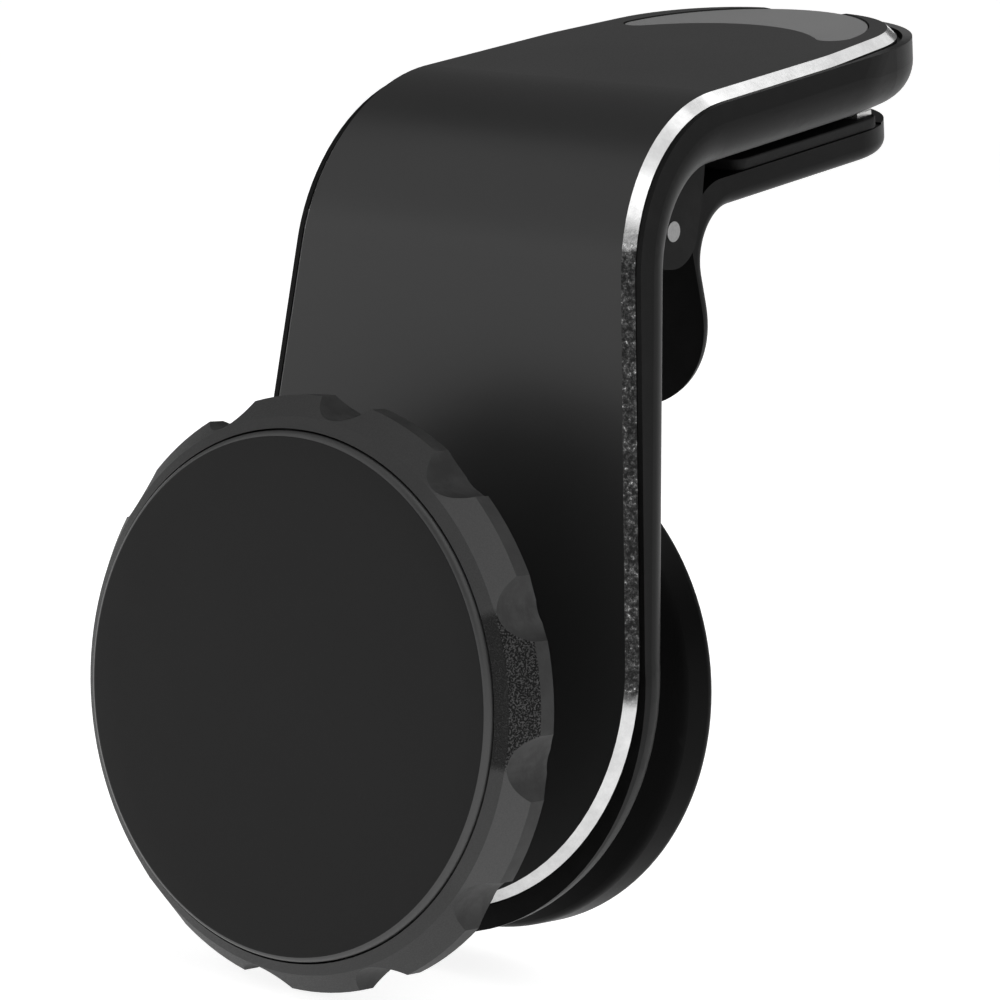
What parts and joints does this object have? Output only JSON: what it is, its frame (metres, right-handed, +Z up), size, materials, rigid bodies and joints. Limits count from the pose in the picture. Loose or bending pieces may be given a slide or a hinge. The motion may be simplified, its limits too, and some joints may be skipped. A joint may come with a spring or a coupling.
{
  "type": "car phone mount",
  "caption": "Phone mount for a car air vent: a bent plate with a sprung jaw behind it grips a vent slat, and a round magnetic head on a ball joint holds the phone.",
  "frame": {"origin": "middle of the closed jaw, where it grips a slat of the air vent, on the mount's plane of symmetry", "axes": "+Z up along the plate's leg, +Y rearwards into the vent, -Y towards the phone, +X to the right as seen from behind the phone pad looking at the vent"},
  "size_m": [0.0452, 0.0644, 0.0762],
  "materials": {
    "anodised_plate": "black anodised satin with a mirror-cut chamfer",
    "grey_inlay": "matt grey",
    "adhesive": "adhesive film",
    "black_plastic": "satin",
    "ring_plastic": "matt with spark-eroded facets",
    "black_rubber": "matt",
    "pad_rubber": "matt fine grain",
    "grey_nylon": "matt",
    "steel": "plated",
    "plated_magnet": "nickel plated"
  },
  "bodies": {
    "base": {"front_plate": "anodised_plate", "top_inlay": "grey_inlay", "plate_adhesive": "adhesive", "housing": "black_plastic", "foot_cover": "black_plastic", "foot_pad": "black_rubber", "foot_screws": "steel", "arm_pad": "black_rubber", "pivot_pin": "steel", "torsion_spring": "steel", "ball_stud": "steel", "stud_washer": "steel", "stud_nut": "steel"},
    "lever": {"clip_lever": "black_plastic", "jaw_pad": "black_rubber", "jaw_hook": "steel"},
    "liner": {"ball_liner": "grey_nylon"},
    "cup": {"ball_cup": "black_plastic"},
    "head": {"front_pad": "pad_rubber", "pad_adhesive": "adhesive", "magnet_carrier": "black_plastic", "magnets": "plated_magnet", "keeper_plate": "steel", "grip_ring": "ring_plastic", "head_back": "black_plastic", "clamp_ring": "steel", "head_screws": "steel"}
  },
  "joints": [
    {"name": "clip_pivot", "type": "hinge", "parent": "base", "child": "lever", "pos_m": [0, -0.0198, -0.0078], "axis": [-1, 0, 0], "range_deg": [0, 18], "stiffness_Nm_per_rad": 0.5, "springref_deg": -17.19, "deforming": ["torsion_spring"]},
    {"name": "head_pan", "type": "hinge", "parent": "base", "child": "liner", "pos_m": [0, -0.0366, -0.04393], "axis": [0, 0, 1], "range_deg": [-18, 18]},
    {"name": "head_tilt", "type": "hinge", "parent": "liner", "child": "cup", "pos_m": [0, -0.0366, -0.04393], "axis": [1, 0, 0], "range_deg": [-18, 18]},
    {"name": "head_spin", "type": "hinge", "parent": "cup", "child": "head", "pos_m": [0, -0.0366, -0.04393], "axis": [0, 1, 0], "continuous": true}
  ]
}
